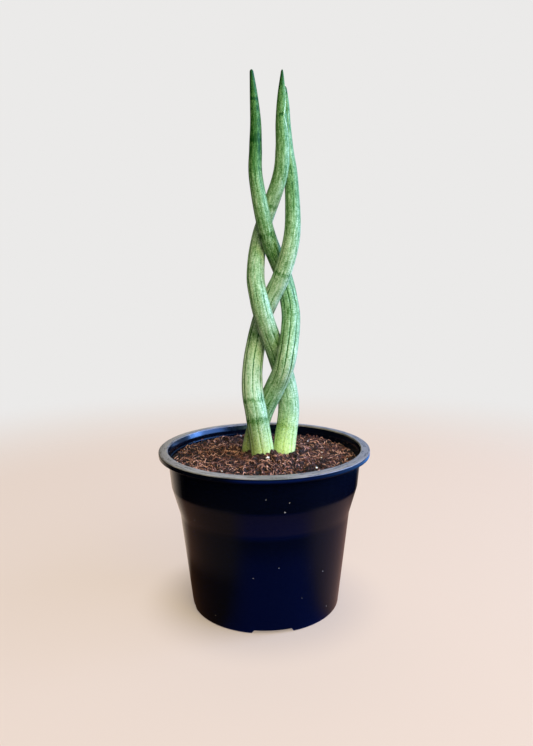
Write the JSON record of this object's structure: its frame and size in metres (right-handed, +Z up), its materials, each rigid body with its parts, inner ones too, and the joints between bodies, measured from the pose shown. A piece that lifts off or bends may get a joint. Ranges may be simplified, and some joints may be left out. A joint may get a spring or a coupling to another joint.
{
  "type": "cylindrical snake plant in a pot",
  "caption": "Potted houseplant: long round tapering green leaves, plaited upright, standing in dark soil in a black tapered nursery pot with a turned-down lip.",
  "frame": {"origin": "centre of the pot's foot ring, on the surface that the pot stands on", "axes": "+Z up along the pot's axis; -Y is the front, from which the plait shows its widest side; +X is to the right seen from there"},
  "size_m": [0.17, 0.17, 0.419],
  "materials": {
    "pot_plastic": "satin injection-moulded black polypropylene",
    "potting_soil": "rough, matt peat and coir fibre with perlite grains",
    "leaf": "waxy satin leaf skin, grooved along its length, with darker cross bands"
  },
  "bodies": {
    "root": {"pot": "pot_plastic", "soil": "potting_soil", "spear_left": "leaf", "spear_front": "leaf", "spear_back": "leaf"}
  },
  "joints": []
}
